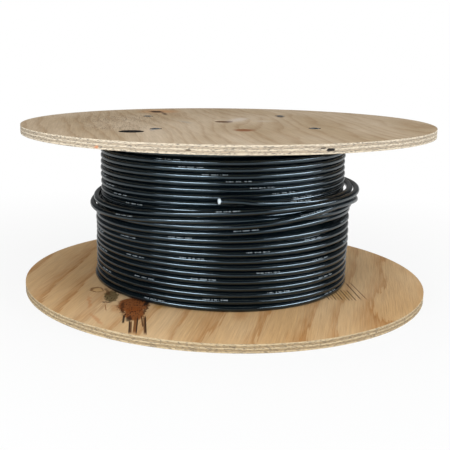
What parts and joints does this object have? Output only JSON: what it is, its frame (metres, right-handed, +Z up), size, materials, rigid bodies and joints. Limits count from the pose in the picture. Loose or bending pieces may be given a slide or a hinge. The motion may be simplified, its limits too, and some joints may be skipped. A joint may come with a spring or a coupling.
{
  "type": "wooden cable drum",
  "caption": "Plywood drum standing on its end, its two round flanges bolted over a barrel part wound with black jacketed cable, one cut end free.",
  "frame": {"origin": "centre of the bottom flange's underside, on the drum's axis", "axes": "+Z up the drum's axis, -Y towards the front, where the cable's cut end shows"},
  "size_m": [0.6099, 0.61, 0.2508],
  "materials": {
    "plywood": "bare softwood plywood, matt",
    "fibre_tube": "bare wound fibre board, matt",
    "zinc_steel": "zinc plated, dull",
    "cable_jacket": "black extruded jacket, satin"
  },
  "bodies": {
    "root": {"bottom_flange": "plywood", "top_flange": "plywood", "barrel": "fibre_tube", "tie_bolt_1": "zinc_steel", "tie_bolt_2": "zinc_steel", "tie_bolt_3": "zinc_steel", "tie_bolt_4": "zinc_steel", "bolt_nut_1": "zinc_steel", "bolt_nut_2": "zinc_steel", "bolt_nut_3": "zinc_steel", "bolt_nut_4": "zinc_steel", "cable_winding": "cable_jacket", "cable_tail": "cable_jacket"}
  },
  "joints": []
}
